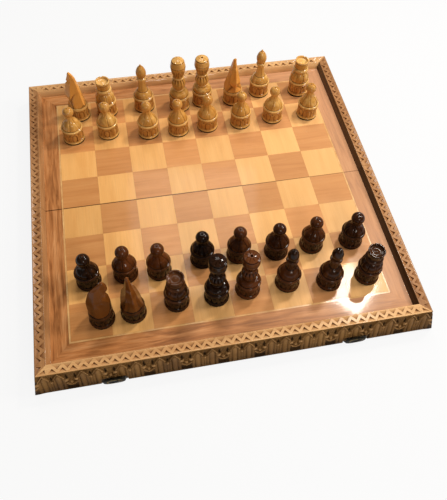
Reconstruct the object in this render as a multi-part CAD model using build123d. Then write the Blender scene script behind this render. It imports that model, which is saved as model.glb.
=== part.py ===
from build123d import *
import os

# Folding chess box with a carved rim, standing open on a table with all 32 pieces set up.
# Frame: origin on the table under the middle of the fold line, +X right, +Y away from the
# latches, +Z up. The near half (Y < 0) carries the dark set, the far half the light set.

os.makedirs("parts", exist_ok=True)

# ---------------------------------------------------------------- driving dimensions, mm
# playing field
square = 48.0  # side of one square
files = 8  # squares across, along X
ranks_per_half = 4  # squares from the fold to the border, along Y
glue_line = 0.1  # gap round each inlaid strip and square
veneer = 1.0  # thickness of squares, stringing and border
stringing_width = 2.0  # light line between squares and border
border_width = 21.0  # dark border veneer
# box
panel_thickness = 4.0  # plywood under the veneer
panel_groove = 4.0  # depth of the groove that holds the panel
groove_clearance = 0.1
cavity_depth = 20.0  # from a half's open face up to its panel
rim_height = 9.0  # rim above the playing surface
rim_splay = 4.0  # how far the rim's inner wall leans outward to its top
rim_top_width = 12.5
rail_flare = 7.0  # how much further out the rail's foot stands than its top
hinge_rail_thickness = 14.0
fold_gap = 0.4  # between the two halves when open
closing_gap = 0.4  # between the two halves when shut
# hinges
hinge_spacing = 240.0
leaf_length = 42.0
leaf_width = 10.0  # from the hinge axis to the leaf's edge
leaf_thickness = 1.2
barrel_radius = 1.8
barrel_relief = 0.3  # clearance round the barrel
pin_radius = 0.9
pin_fixed_clearance = 0.02
pin_running_clearance = 0.06
knuckle_gap = 0.2
mortise_clearance = 0.1
hinge_screws_per_leaf = 3
hinge_screw_length = 9.0
hinge_screw_radius = 1.0
hinge_screw_head_radius = 2.2
screw_slot_width = 0.5
screw_slot_depth = 0.5
screw_clearance = 0.05
# latches
latch_spacing = 288.0
latch_height = 4.8  # pivot and stud, each above its own half's open face
pad_recess = 2.0  # flat cut into the sloping rail face
pad_margin = 1.0  # past the plate on one side and the hook on the other
plate_length = 20.0
plate_thickness = 1.0
plate_radius = 4.2  # rounded ends of the latch plate, and the catch stud's washer
hook_thickness = 1.4
hook_play = 0.05  # each side of the hook
hook_eye_radius = 3.4
hook_end_radius = 3.8
hook_arm_width = 3.2
hook_tail = 5.0  # thumb tab past the hook's end
pivot_radius = 1.5
pivot_running_clearance = 0.05
stud_neck_radius = 1.4
stud_slot_clearance = 0.35
knob_radius = 2.8  # heads of the pivot screws and of the catch studs
knob_height = 2.2
knob_edge = 0.9  # rounding of those heads
latch_screw_depth = 8.0
# chess pieces: the foot that they all share
felt_thickness = 1.6
felt_inset = 0.2
foot_radius = 15.2
foot_height = 2.4
drum_radius = 14.2
drum_top = 20.5
ring_radius = 15.0
ring_height = 3.2
shoulder_radius = 13.8  # where each upper part leaves the ring
# chess pieces: upper parts
pawn_neck_radius = 4.7
pawn_head_radius = 7.8
nib_radius = 1.2
nib_height = 0.8
rook_bulge_radius = 13.4
rook_waist_radius = 8.6
rook_collar_radius = 11.2
rook_turret_radius = 9.4
rook_rim_radius = 10.6
rook_cup_radius = 8.8
rook_cup_depth = 3.6
rook_notches = 4
rook_notch_width = 2.2
rook_notch_depth = 1.2
bishop_dome_radius = 11.6
bishop_neck_foot_radius = 8.2
bishop_neck_radius = 5.0
bishop_collar_radius = 6.9
bishop_head_radius = 7.6
royal_bulb_radius = 12.9
royal_neck_radius = 6.2
royal_neck_flare = 1.0  # how much wider the neck is where it meets the bulb and the crown
royal_neck_length = 2.0
bead_radius = 9.9
crown_middle_radius = 9.7
crown_radius = 10.9
crown_shoulder_radius = 10.5
lid_radius = 9.4
queen_hole_radius = 1.5
queen_hole_depth = 3.0
knight_reach = 14.4  # nose ahead of the piece's axis
knight_foot_thickness = 25.0
knight_top_thickness = 4.0
knight_cone_top_radius = 6.0
knight_cone_height = 16.0
# heights of the pieces over the playing surface
light_pawn_height = 58.0
light_rook_height = 58.0
light_knight_height = 79.0
light_bishop_height = 77.5
light_queen_height = 80.5
light_king_height = 86.0
dark_pawn_height = 56.5
dark_rook_height = 57.0
dark_knight_height = 77.0
dark_bishop_height = 75.0
dark_queen_height = 76.0
dark_king_height = 84.0

# ---------------------------------------------------------------- derived levels and reaches
axis_z = barrel_radius
open_face_z = axis_z + closing_gap / 2
panel_bottom_z = open_face_z + cavity_depth
panel_top_z = panel_bottom_z + panel_thickness
playing_z = panel_top_z + veneer
rim_top_z = playing_z + rim_height
rail_height = rim_top_z - open_face_z

field_half = files * square / 2
stringing_outer = field_half + stringing_width
inner_wall = stringing_outer + border_width
rim_inner_top = inner_wall + rim_splay
rim_outer_top = rim_inner_top + rim_top_width
rail_foot = rim_outer_top + rail_flare
fold_face = fold_gap / 2
pad_plane = rail_foot - pad_recess
pad_top_z = open_face_z + rail_height * pad_recess / rail_flare
latch_z = open_face_z + latch_height
hook_reach = 2 * latch_height + closing_gap  # pivot to stud when shut
hook_length = hook_reach + hook_end_radius + hook_tail
neck_length = hook_thickness + 2 * hook_play
ring_top = drum_top + ring_height


# ---------------------------------------------------------------- helpers
def block(x, y, z):
    """Box between two limits on each axis."""
    size = [abs(high - low) for low, high in (x, y, z)]
    centre = [(high + low) / 2 for low, high in (x, y, z)]
    return Pos(*centre) * Box(*size)


def prism(points, plane, depth):
    """Straight-sided outline on a plane, extruded along its normal."""
    outline = make_face(Polyline(*points, close=True))
    return extrude(plane * outline, depth)


def rod(radius, start, end, direction):
    """Round bar along an axis direction, from start to end measured along it."""
    length = end - start
    base = Vector(*direction) * start
    plane = Plane(origin=base, z_dir=direction)
    return plane * Pos(0, 0, length / 2) * Cylinder(radius, length)


def turned(outline):
    """Solid of revolution about Z. A point is (radius, z); a pair of points is an arc
    through the first of them to the second."""
    edges = []
    here = outline[0]
    for step in outline[1:]:
        if isinstance(step[0], tuple):
            through, end = step
            edges.append(ThreePointArc((here[0], here[1]), through, end))
        else:
            end = step
            edges.append(Line(here, end))
        here = end
    edges.append(Line(here, outline[0]))
    face = make_face(Plane.XZ * Curve(edges))
    return revolve(face, Axis.Z)


def cap(radius, edge_z, top_z):
    """Arc of a round cap from its edge to the axis, level where it meets the axis."""
    rise = top_z - edge_z
    bend = (radius**2 + rise**2) / (2 * rise)
    side = (bend**2 - radius**2 / 4) ** 0.5
    through_z = top_z - bend + side if rise > 0 else top_z - bend - side
    return ((radius / 2, through_z), (0, top_z))


def save(name, *shapes):
    """One STEP file per node; several shapes in a node stay separate solids."""
    solids = [solid for shape in shapes for solid in shape.solids()]
    node = solids[0] if len(solids) == 1 else Compound(children=solids)
    node.label = name
    export_step(node, f"parts/{name}.step")


def far_side(shape):
    """The same shape on the far half."""
    return mirror(shape, about=Plane.XZ)


# ---------------------------------------------------------------- playing field
def squares(half, light):
    """The 16 squares of one colour on one half; the near left corner square is dark."""
    found = []
    for file in range(files):
        for rank in range(ranks_per_half):
            board_rank = rank if half < 0 else rank + ranks_per_half
            if ((file + board_rank) % 2 == 1) != light:
                continue
            x = -field_half + file * square
            y = (board_rank - ranks_per_half) * square
            near_edge = y + glue_line / 2
            far_edge = y + square - glue_line / 2
            if half > 0:
                near_edge = max(near_edge, fold_face)
            else:
                far_edge = min(far_edge, -fold_face)
            across = (x + glue_line / 2, x + square - glue_line / 2)
            found.append(block(across, (near_edge, far_edge), (panel_top_z, playing_z)))
    return found


def frame_strips(inner, outer):
    """Three mitred veneer strips round the near half, between two distances from the centre."""
    outside = outer - glue_line / 2
    inside = inner + glue_line / 2
    mitre = glue_line / 2
    front = [
        (-outside + mitre, -outside),
        (outside - mitre, -outside),
        (inside - mitre, -inside),
        (-inside + mitre, -inside),
    ]
    side = [
        (-outside, -fold_face),
        (-outside, -outside + mitre),
        (-inside, -inside + mitre),
        (-inside, -fold_face),
    ]
    level = Plane.XY.offset(panel_top_z)
    left = prism(side, level, veneer)
    return [prism(front, level, veneer), left, mirror(left, about=Plane.YZ)]


def panel():
    """Plywood panel of the near half, held in the rails' grooves."""
    edge = inner_wall + panel_groove - groove_clearance
    return block((-edge, edge), (-edge, -fold_face), (panel_bottom_z, panel_top_z))


# ---------------------------------------------------------------- rails
def rail_section():
    """Rail outline: distance from the board's centre, then height."""
    groove_bottom = panel_bottom_z - groove_clearance
    groove_top = panel_top_z + groove_clearance
    groove_back = inner_wall + panel_groove
    return [
        (inner_wall, open_face_z),
        (rail_foot, open_face_z),
        (rim_outer_top, rim_top_z),
        (rim_inner_top, rim_top_z),
        (inner_wall, playing_z),
        (inner_wall, groove_top),
        (groove_back, groove_top),
        (groove_back, groove_bottom),
        (inner_wall, groove_bottom),
    ]


def outer_rail(screw_radius):
    """Rail along the edge furthest from the fold, on the near half, with its latch pads."""
    along_x = Plane(origin=(-rail_foot, 0, 0), x_dir=(0, -1, 0), z_dir=(1, 0, 0))
    section = [(reach, -z) for reach, z in rail_section()]
    bar = prism(section, along_x, 2 * rail_foot)
    wedge = prism([(0, 0), (rail_foot, -rail_foot), (-rail_foot, -rail_foot)], Plane.XY, rim_top_z)
    bar = bar & wedge
    for x in (-latch_spacing / 2, latch_spacing / 2):
        across = (x - hook_length - pad_margin, x + plate_length / 2 + pad_margin)
        bar -= block(across, (-rail_foot, -pad_plane), (open_face_z, pad_top_z))
        hole = rod(screw_radius + screw_clearance, 0, latch_screw_depth, (0, 1, 0))
        bar -= Pos(x, -pad_plane, latch_z) * hole
    return bar


def side_rail():
    """Left rail of the near half, mitred at the outer corner and square at the fold."""
    along_y = Plane(origin=(0, -rail_foot, 0), x_dir=(-1, 0, 0), z_dir=(0, 1, 0))
    bar = prism(rail_section(), along_y, rail_foot - fold_face)
    corner = [
        (-stringing_outer, -fold_face),
        (-rail_foot, -fold_face),
        (-rail_foot, -rail_foot),
        (-stringing_outer, -stringing_outer),
    ]
    return bar & prism(corner, Plane.XY, rim_top_z)


def hinge_rail():
    """Rail under the panel along the fold of the near half, mortised for the hinge leaves."""
    back = fold_face + hinge_rail_thickness
    bar = block((-inner_wall, inner_wall), (-back, -fold_face), (open_face_z, panel_bottom_z))
    room = leaf_length / 2 + mortise_clearance
    for x in hinge_places():
        width = leaf_width + mortise_clearance
        depth = open_face_z + leaf_thickness + mortise_clearance
        bar -= block((x - room, x + room), (-width, 0), (open_face_z, depth))
        relief = rod(barrel_radius + barrel_relief, -room, room, (1, 0, 0))
        bar -= Pos(x, 0, axis_z) * relief
        for screw_x in hinge_screw_places(x):
            hole = rod(hinge_screw_radius + screw_clearance, 0, hinge_screw_length, (0, 0, 1))
            bar -= Pos(screw_x, hinge_screw_y(), open_face_z) * hole
    return bar


# ---------------------------------------------------------------- hinges
def hinge_places():
    return (-hinge_spacing / 2, hinge_spacing / 2)


def hinge_screw_y():
    return -(leaf_width + barrel_radius) / 2


def hinge_screw_places(hinge_x):
    pitch = leaf_length / hinge_screws_per_leaf
    first = hinge_x - leaf_length / 2 + pitch / 2
    return [first + i * pitch for i in range(hinge_screws_per_leaf)]


def hinge_screw():
    """Countersunk slotted screw, head down, its head's face at z = 0."""
    head = turned(
        [
            (0, 0),
            (hinge_screw_head_radius, 0),
            (hinge_screw_radius, leaf_thickness),
            (hinge_screw_radius, hinge_screw_length),
            (0, hinge_screw_length),
        ]
    )
    half = screw_slot_width / 2
    reach = hinge_screw_head_radius
    return head - block((-reach, reach), (-half, half), (0, screw_slot_depth))


def hinge_leaf(has_middle):
    """Leaf of the near half at x = 0: the outer two knuckles, or the middle one."""
    third = leaf_length / 3
    half = leaf_length / 2
    top = open_face_z + leaf_thickness
    leaf = block((-half, half), (-leaf_width, 0), (open_face_z, top))
    knuckles = [(-third / 2, third / 2)] if has_middle else [(-half, -third / 2), (third / 2, half)]
    gaps = [(-half, -third / 2), (third / 2, half)] if has_middle else [(-third / 2, third / 2)]
    for low, high in gaps:
        clear = barrel_radius + barrel_relief
        leaf -= block((low - knuckle_gap / 2, high + knuckle_gap / 2), (-clear, 0), (open_face_z, top))
    for low, high in knuckles:
        start = low + (knuckle_gap / 2 if low > -half else 0)
        end = high - (knuckle_gap / 2 if high < half else 0)
        leaf += Pos(0, 0, axis_z) * rod(barrel_radius, start, end, (1, 0, 0))
    clearance = pin_running_clearance if has_middle else pin_fixed_clearance
    leaf -= Pos(0, 0, axis_z) * rod(pin_radius + clearance, -half, half, (1, 0, 0))
    hole = turned(
        [
            (0, 0),
            (hinge_screw_head_radius + screw_clearance, 0),
            (hinge_screw_radius + screw_clearance, leaf_thickness),
            (0, leaf_thickness),
        ]
    )
    for x in hinge_screw_places(0):
        leaf -= Pos(x, hinge_screw_y(), open_face_z) * hole
    return leaf


# ---------------------------------------------------------------- latches
def latch_places():
    return (-latch_spacing / 2, latch_spacing / 2)


def on_pad(shape, x):
    """Place a shape whose z is the distance out from a near latch pad's face."""
    return Pos(x, -pad_plane, latch_z) * Rot(90, 0, 0) * shape


def knob(start):
    """Round head with a rounded front edge, starting at a height over the pad."""
    top = start + knob_height
    bend = knob_edge * (1 - 0.5**0.5)
    corner = (knob_radius - bend, top - bend)
    return [
        (knob_radius, start),
        (knob_radius, top - knob_edge),
        (corner, (knob_radius - knob_edge, top)),
        (0, top),
    ]


def latch_pivot():
    """Screw that the hook turns on."""
    head_start = plate_thickness + neck_length
    shank = [(0, -latch_screw_depth), (pivot_radius, -latch_screw_depth), (pivot_radius, head_start)]
    return turned(shank + knob(head_start))


def catch_stud():
    """Stud that the hook closes over: screw, washer, neck and head in one turning."""
    head_start = plate_thickness + neck_length
    stem = [
        (0, -latch_screw_depth),
        (pivot_radius, -latch_screw_depth),
        (pivot_radius, 0),
        (plate_radius, 0),
        (plate_radius, plate_thickness),
        (stud_neck_radius, plate_thickness),
        (stud_neck_radius, head_start),
    ]
    return turned(stem + knob(head_start))


def latch_plate():
    """Round-ended plate between the rail and the hook."""
    plate = extrude(SlotOverall(plate_length, 2 * plate_radius), plate_thickness)
    return plate - rod(pivot_radius + screw_clearance, 0, plate_thickness, (0, 0, 1))


def latch_hook():
    """Hook lying along -X from its eye, with a slot that opens downward."""
    outline = Circle(hook_eye_radius) + Pos(-hook_reach, 0) * Circle(hook_end_radius)
    outline += Pos(-hook_length / 2, 0) * Rectangle(hook_length, hook_arm_width)
    slot = stud_neck_radius + stud_slot_clearance
    outline -= Pos(-hook_reach, 0) * Circle(slot)
    outline -= Pos(-hook_reach, -hook_end_radius / 2) * Rectangle(2 * slot, hook_end_radius)
    outline -= Circle(pivot_radius + pivot_running_clearance)
    return Pos(0, 0, plate_thickness + hook_play) * extrude(outline, hook_thickness)


# ---------------------------------------------------------------- chess pieces
def foot():
    """Outline from the felt up to the top of the ring, shared by all turned pieces."""
    foot_top = felt_thickness + foot_height
    step = foot_radius - drum_radius
    return [
        (0, felt_thickness),
        (foot_radius, felt_thickness),
        (foot_radius, foot_top - step),
        (drum_radius, foot_top),
        (drum_radius, drum_top),
        ((ring_radius, drum_top + ring_height / 2), (shoulder_radius, ring_top)),
    ]


def level(height, share):
    """Height at a share of the way from the ring to the top."""
    return ring_top + share * (height - ring_top)


def pawn(height):
    centre = height - nib_height - pawn_head_radius
    drop = (pawn_head_radius**2 - pawn_neck_radius**2) ** 0.5
    neck_z = centre - drop
    middle = (ring_top + neck_z) / 2
    nib_z = centre + (pawn_head_radius**2 - nib_radius**2) ** 0.5
    skirt = ((0.45 * shoulder_radius + 0.48 * pawn_neck_radius, middle), (pawn_neck_radius, neck_z))
    head = ((pawn_head_radius, centre), (nib_radius, nib_z))
    return turned(foot() + [skirt, head, (nib_radius, height), (0, height)])


def rook(height):
    waist_z = level(height, 0.46)
    collar_z = level(height, 0.56)
    turret_z = level(height, 0.64)
    cup_wall = rook_rim_radius - rook_cup_radius
    body = ((rook_bulge_radius, level(height, 0.18)), (rook_waist_radius, waist_z))
    collar = ((rook_collar_radius, collar_z), (rook_turret_radius, turret_z))
    bowl = cap(rook_cup_radius, height, height - rook_cup_depth)
    outline = foot() + [body, collar, (rook_rim_radius, height), (rook_cup_radius, height), bowl]
    solid = turned(outline)
    for i in range(rook_notches):
        angle = 360 * (i + 0.5) / rook_notches
        notch = block(
            (rook_cup_radius - cup_wall, rook_rim_radius + cup_wall),
            (-rook_notch_width / 2, rook_notch_width / 2),
            (height - rook_notch_depth, height + rook_notch_depth),
        )
        solid -= Rot(0, 0, angle) * notch
    return solid


def bishop(height):
    dome = ((bishop_dome_radius, level(height, 0.11)), (bishop_neck_foot_radius, level(height, 0.16)))
    neck = [(bishop_neck_radius, level(height, 0.40)), (bishop_neck_radius, level(height, 0.52))]
    head_z = level(height, 0.60)
    collar = ((bishop_collar_radius, level(height, 0.555)), (bishop_neck_radius, head_z))
    head = ((bishop_head_radius, level(height, 0.75)), (0.62 * bishop_head_radius, level(height, 0.89)))
    nib_z = height - nib_height - nib_radius
    tip = [(nib_radius, nib_z), (nib_radius, height), (0, height)]
    return turned(foot() + [dome] + neck + [collar, head] + tip)


def royal(height, widest_share):
    """King or queen: bulb, neck, round bead and a tulip crown, closed by a low domed lid."""
    lower = level(height, 0.18)
    middle = level(height, 0.345)
    upper = level(height, 0.51)
    widest = level(height, widest_share)
    lid_z = level(height, 0.965)
    bead_half = 0.45 * (upper - lower)
    neck_top = royal_neck_radius + royal_neck_flare
    bulb = ((royal_bulb_radius, level(height, 0.09)), (neck_top, lower - royal_neck_length))
    bead = ((bead_radius, middle), (royal_neck_radius, middle + bead_half))
    tulip = ((crown_middle_radius, (upper + widest) / 2), (crown_radius, widest))
    shoulder = ((crown_shoulder_radius, (widest + lid_z) / 2), (lid_radius, lid_z))
    stem = [(royal_neck_radius, lower), (royal_neck_radius, middle - bead_half)]
    outline = foot() + [bulb] + stem + [bead, (neck_top, upper), tulip, shoulder]
    return turned(outline + [cap(lid_radius, lid_z, height)])


def king(height):
    return royal(height, 0.81)


def queen(height):
    hole = rod(queen_hole_radius, -queen_hole_depth, 1, (0, 0, 1))
    return royal(height, 0.80) - Pos(0, 0, height) * hole


# A knight's side outline, facing +X: share of the reach, then share of the way to the top.
light_knight_outline = [
    (0.94, 0.0),
    (0.74, 0.15),
    (0.98, 0.31),
    (0.88, 0.45),
    (0.81, 0.59),
    (0.60, 0.77),
    (0.30, 1.0),
    (0.18, 1.0),
    (-0.25, 0.81),
    (-0.39, 0.64),
    (-0.51, 0.43),
    (-0.62, 0.20),
    (-0.70, 0.0),
]
dark_knight_outline = [
    (0.90, 0.0),
    (0.90, 0.20),
    (0.86, 0.43),
    (0.77, 0.51),
    (0.56, 0.64),
    (0.32, 0.79),
    (-0.17, 0.89),
    (-0.68, 1.0),
    (-0.90, 0.91),
    (-0.98, 0.73),
    (-0.80, 0.62),
    (-0.62, 0.51),
    (-0.76, 0.44),
    (-0.98, 0.33),
    (-0.98, 0.14),
    (-0.90, 0.0),
]


def knight(height, outline):
    """Turned foot with a wedge-shaped blade cut to a horse's outline, rising from a cone."""
    points = [(share * knight_reach, level(height, up)) for share, up in outline]
    wide = knight_foot_thickness / 2
    thin = knight_top_thickness / 2
    blade = extrude(Plane.XZ * make_face(Polyline(*points, close=True)), wide, both=True)
    wedge = [(-wide, ring_top), (wide, ring_top), (thin, height), (-thin, height)]
    taper = extrude(Plane.YZ * make_face(Polyline(*wedge, close=True)), foot_radius, both=True)
    body = blade & taper & rod(ring_radius, ring_top, height, (0, 0, 1))
    cone_z = ring_top + knight_cone_height
    shoulder = cap(knight_cone_top_radius, cone_z, cone_z + knight_cone_top_radius / 2)
    cone = turned(foot() + [(knight_cone_top_radius, cone_z), shoulder])
    return body + cone


makers = {"pawn": pawn, "rook": rook, "bishop": bishop, "queen": queen, "king": king}
light_heights = {
    "pawn": light_pawn_height,
    "rook": light_rook_height,
    "knight": light_knight_height,
    "bishop": light_bishop_height,
    "queen": light_queen_height,
    "king": light_king_height,
}
dark_heights = {
    "pawn": dark_pawn_height,
    "rook": dark_rook_height,
    "knight": dark_knight_height,
    "bishop": dark_bishop_height,
    "queen": dark_queen_height,
    "king": dark_king_height,
}


def piece(kind, light, heading=0):
    """One chess piece at the origin: its wood, then its felt."""
    height = light_heights[kind] if light else dark_heights[kind]
    if kind == "knight":
        outline = light_knight_outline if light else dark_knight_outline
        wood = Rot(0, 0, heading) * knight(height, outline)
    else:
        wood = makers[kind](height)
    felt = rod(foot_radius - felt_inset, 0, felt_thickness, (0, 0, 1))
    return wood, felt


# Where each piece stands: name, kind, file and rank from the near left corner, how far it
# stands off the middle of its square in X and Y, in offset_steps to a square, and which way
# a knight faces.
offset_steps = 48
light_set = [
    ("knight_left", "knight", 0, 7, 8, 2, 180),
    ("rook_left", "rook", 1, 7, 0, 3, 0),
    ("bishop_left", "bishop", 2, 7, 7, 5, 0),
    ("king", "king", 3, 7, 11, -2, 0),
    ("queen", "queen", 4, 7, -2, 3, 0),
    ("knight_right", "knight", 5, 7, -4, -1, 277),
    ("bishop_right", "bishop", 6, 7, -9, 10, 0),
    ("rook_right", "rook", 7, 7, 3, 3, 0),
    ("pawn_1", "pawn", 0, 6, -3, 5, 0),
    ("pawn_2", "pawn", 1, 6, -2, 7, 0),
    ("pawn_3", "pawn", 2, 6, 7, -1, 0),
    ("pawn_4", "pawn", 3, 6, 2, -3, 0),
    ("pawn_5", "pawn", 4, 6, -3, -1, 0),
    ("pawn_6", "pawn", 5, 6, -2, -2, 0),
    ("pawn_7", "pawn", 6, 6, -1, 1, 0),
    ("pawn_8", "pawn", 7, 6, 4, 0, 0),
]
dark_set = [
    ("knight_left", "knight", 0, 0, 14, 0, 195),
    ("knight_right", "knight", 1, 0, 3, 1, 280),
    ("rook_left", "rook", 2, 0, 7, 7, 0),
    ("king", "king", 3, 0, 7, 6, 0),
    ("queen", "queen", 4, 0, -2, 9, 0),
    ("bishop_left", "bishop", 5, 0, 0, 10, 0),
    ("bishop_right", "bishop", 6, 0, 3, 3, 0),
    ("rook_right", "rook", 7, 0, 4, 3, 0),
    ("pawn_1", "pawn", 0, 1, 2, 5, 0),
    ("pawn_2", "pawn", 1, 1, -1, 8, 0),
    ("pawn_3", "pawn", 2, 1, -8, 5, 0),
    ("pawn_4", "pawn", 3, 1, -1, 13, 0),
    ("pawn_5", "pawn", 4, 1, -3, 12, 0),
    ("pawn_6", "pawn", 5, 1, -3, 9, 0),
    ("pawn_7", "pawn", 6, 1, -4, 11, 0),
    ("pawn_8", "pawn", 7, 1, 0, 9, 0),
]


def stand(file, rank, off_x, off_y):
    x = (file + 0.5 + off_x / offset_steps) * square - field_half
    y = (rank - ranks_per_half + 0.5 + off_y / offset_steps) * square
    return Pos(x, y, playing_z)


# ---------------------------------------------------------------- near half
save("near_light_squares", *squares(-1, True))
save("near_dark_squares", *squares(-1, False))
save("near_stringing", *frame_strips(field_half, stringing_outer))
save("near_border", *frame_strips(stringing_outer, inner_wall))
save("near_panel", panel())
save("near_front_rail", outer_rail(pivot_radius))
save("near_left_rail", side_rail())
save("near_right_rail", mirror(side_rail(), about=Plane.YZ))
save("near_hinge_rail", hinge_rail())

# ---------------------------------------------------------------- far half
save("far_light_squares", *squares(1, True))
save("far_dark_squares", *squares(1, False))
save("far_stringing", *[far_side(s) for s in frame_strips(field_half, stringing_outer)])
save("far_border", *[far_side(s) for s in frame_strips(stringing_outer, inner_wall)])
save("far_panel", far_side(panel()))
save("far_back_rail", far_side(outer_rail(pivot_radius)))
save("far_left_rail", far_side(side_rail()))
save("far_right_rail", far_side(mirror(side_rail(), about=Plane.YZ)))
save("far_hinge_rail", far_side(hinge_rail()))

# ---------------------------------------------------------------- hinges
leaf_half = leaf_length / 2
pin = Pos(0, 0, axis_z) * rod(pin_radius, -leaf_half, leaf_half, (1, 0, 0))
screws = [
    Pos(x, hinge_screw_y(), open_face_z) * hinge_screw()
    for hinge_x in hinge_places()
    for x in hinge_screw_places(hinge_x)
]
save("hinge_leaves_near", *[Pos(x, 0, 0) * hinge_leaf(False) for x in hinge_places()])
save("hinge_leaves_far", *[Pos(x, 0, 0) * far_side(hinge_leaf(True)) for x in hinge_places()])
save("hinge_pins", *[Pos(x, 0, 0) * pin for x in hinge_places()])
save("hinge_screws_near", *screws)
save("hinge_screws_far", *[far_side(screw) for screw in screws])

# ---------------------------------------------------------------- latches
left_latch, right_latch = latch_places()
save("latch_plates", *[on_pad(latch_plate(), x) for x in latch_places()])
save("latch_pivots", *[on_pad(latch_pivot(), x) for x in latch_places()])
save("latch_hook_left", on_pad(latch_hook(), left_latch))
save("latch_hook_right", on_pad(latch_hook(), right_latch))
save("catch_studs", *[far_side(on_pad(catch_stud(), x)) for x in latch_places()])

# ---------------------------------------------------------------- both sets of pieces
for colour, chess_set in (("light", light_set), ("dark", dark_set)):
    for name, kind, file, rank, off_x, off_y, heading in chess_set:
        wood, felt = piece(kind, colour == "light", heading)
        place = stand(file, rank, off_x, off_y)
        save(f"{colour}_{name}", place * wood, place * felt)
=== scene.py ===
"""Looks of a folding chess box with a carved rim and its 32 carved pieces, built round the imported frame.

Shapes are worked out in millimetres in the frame's axes, +X right, +Y away from the latches, +Z up,
and go into their meshes in metres. Each new piece is a surface computed on a grid of two parameters:
round an axis and along an outline for the turned pieces, along a rail and across it for the rails."""

import math

import bpy
import numpy as np
from mathutils import Euler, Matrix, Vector


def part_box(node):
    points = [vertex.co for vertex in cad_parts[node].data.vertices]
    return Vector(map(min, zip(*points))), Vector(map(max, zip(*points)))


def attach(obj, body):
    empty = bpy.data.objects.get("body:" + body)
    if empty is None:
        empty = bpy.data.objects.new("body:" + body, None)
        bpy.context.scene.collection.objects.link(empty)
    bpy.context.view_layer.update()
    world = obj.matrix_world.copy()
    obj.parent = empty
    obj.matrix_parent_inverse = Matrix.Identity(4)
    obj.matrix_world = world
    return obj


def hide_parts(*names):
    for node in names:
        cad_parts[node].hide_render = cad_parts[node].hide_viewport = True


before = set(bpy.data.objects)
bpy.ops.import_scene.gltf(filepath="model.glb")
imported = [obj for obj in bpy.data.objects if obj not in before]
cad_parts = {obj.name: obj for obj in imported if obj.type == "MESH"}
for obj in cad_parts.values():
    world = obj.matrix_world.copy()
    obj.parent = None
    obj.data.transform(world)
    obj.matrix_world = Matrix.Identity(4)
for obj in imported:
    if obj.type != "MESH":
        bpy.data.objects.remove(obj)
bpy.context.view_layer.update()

# ---- sizes, mm
mm = 0.001
square = 48.0
fold_line = 0.7  # painted shade each side of the fold
rim_splay = 4.0  # lean of the rim's inner wall
rim_top_width = 12.5
rim_easing = 0.35  # of the edges of the rim's top
rail_flare = 7.0  # how much further out the rail's foot stands than its top
panel_thickness = 4.0
panel_groove = 4.0
veneer = 1.0
# latches on the outer rails: their pads, and the covers over their hooks
latch_spacing = 288.0
pad_recess = 2.0
pad_left = 19.8  # pad's reach to the left and right of each latch
pad_right = 11.0
cover_left = 5.0  # how far left of its latch a cover's middle lies
cover_back = 239.05  # just clear of the swinging hook
cover_rise = 2.0
cover_half_width = 13.0
cover_half_height = 6.6
cover_middle_z = 8.0
cover_squareness = 0.6  # 1 for an ellipse, less for squarer corners
cover_bead = 0.60  # where the bead runs, as a share of the way out
cover_dish = 0.35  # how far the middle is sunk, as a share of the rise
# chip carving of the rim's top
chip_pitch = 11.5
chip_base = 10.06
chip_height = 6.0
chip_depth = 2.8
chip_wall = 0.06  # run of the steep side behind a chip
chip_margin_inner = 0.9
chip_margin_outer = 1.2
inner_chips = 18  # each way from the middle
outer_chips = 20
# relief of the outer faces: depths, and places down from the rim's edge
arch_pairs = 11
arch_offset = 8.4  # from a pair's middle to each arch's
arch_half = 7.4
arch_top = 3.4
arch_fall = 11.5  # from an arch's apex to its side
arch_power = 1.15  # 1 for straight sides, more for rounder ones
ground_depth = 2.6
floor_depth = 2.4  # under the arches
hole_depth = 4.4
stab_foot = 15.5
corner_clear = 4.0  # the relief fades out towards this distance from a corner
corner_fade = 8.0
# turned feet of the chess pieces
felt_thickness = 1.6
felt_radius = 15.1
felt_clearance = 0.02  # over the veneer
foot_radius = 15.2
foot_height = 2.4
drum_radius = 14.2
drum_top = 20.5
ring_radius = 15.0
ring_top = 23.7
shoulder_radius = 13.8
niche_count = 7
niche_depth = 1.2
# knights: a round blank cut to a blade
knight_reach = 14.4
knight_foot_half = 12.5  # half the blade's thickness at its foot
knight_top_half = 2.0
knight_blank = [(0, 13.0), (1.5, 13.7), (7.0, 14.4)]  # height over the ring, radius
knight_shoulder = [(drum_radius, drum_top - 0.6), (13.8, drum_top + 1.0), (13.3, ring_top - 0.9),
                   (12.4, ring_top - 0.5), (12.4, ring_top - 0.2)]
# grids of the new surfaces
row_step = 0.55  # along an outline
turned_columns = 120  # round an axis
knight_columns = 168
knight_levels = 112
felt_columns = 64
cover_columns = 96
face_step = 0.65  # down the carved outer faces
rail_columns_per_chip = 20
sharp_angle = 38  # degrees between faces

playing_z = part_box("near_light_squares")[1].z / mm
rim_top_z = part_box("near_left_rail")[1].z / mm
open_face_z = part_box("near_left_rail")[0].z / mm
rail_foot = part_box("near_right_rail")[1].x / mm
fold_face = -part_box("near_right_rail")[1].y / mm
rim_outer_top = rail_foot - rail_flare
rim_inner_top = rim_outer_top - rim_top_width
inner_wall = rim_inner_top - rim_splay
wall_rows = 7  # a rail section's rows from the foot of its inner wall to its top
mitre_start = inner_wall - 1.0  # how far along a rail its columns begin to close up
panel_top_z = playing_z - veneer
panel_bottom_z = panel_top_z - panel_thickness
pair_pitch = 2 * rail_foot / arch_pairs
latch_places = (-latch_spacing / 2, latch_spacing / 2)

# ---- camera and floor
camera_place = (-0.0904, -0.4899, 0.6524)  # m
camera_turn = (32.72, -1.74, -10.82)  # degrees
lens = 42.16
floor_reach = 6.0  # m
floor_whiteness = 0.88  # share of pure white that camera and mirror rays see in the floor


# ---- meshes
def add_object(name, data):
    """A new object in the scene, holding a mesh, lamp or camera."""
    made = bpy.data.objects.new(name, data)
    bpy.context.scene.collection.objects.link(made)
    return made


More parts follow.
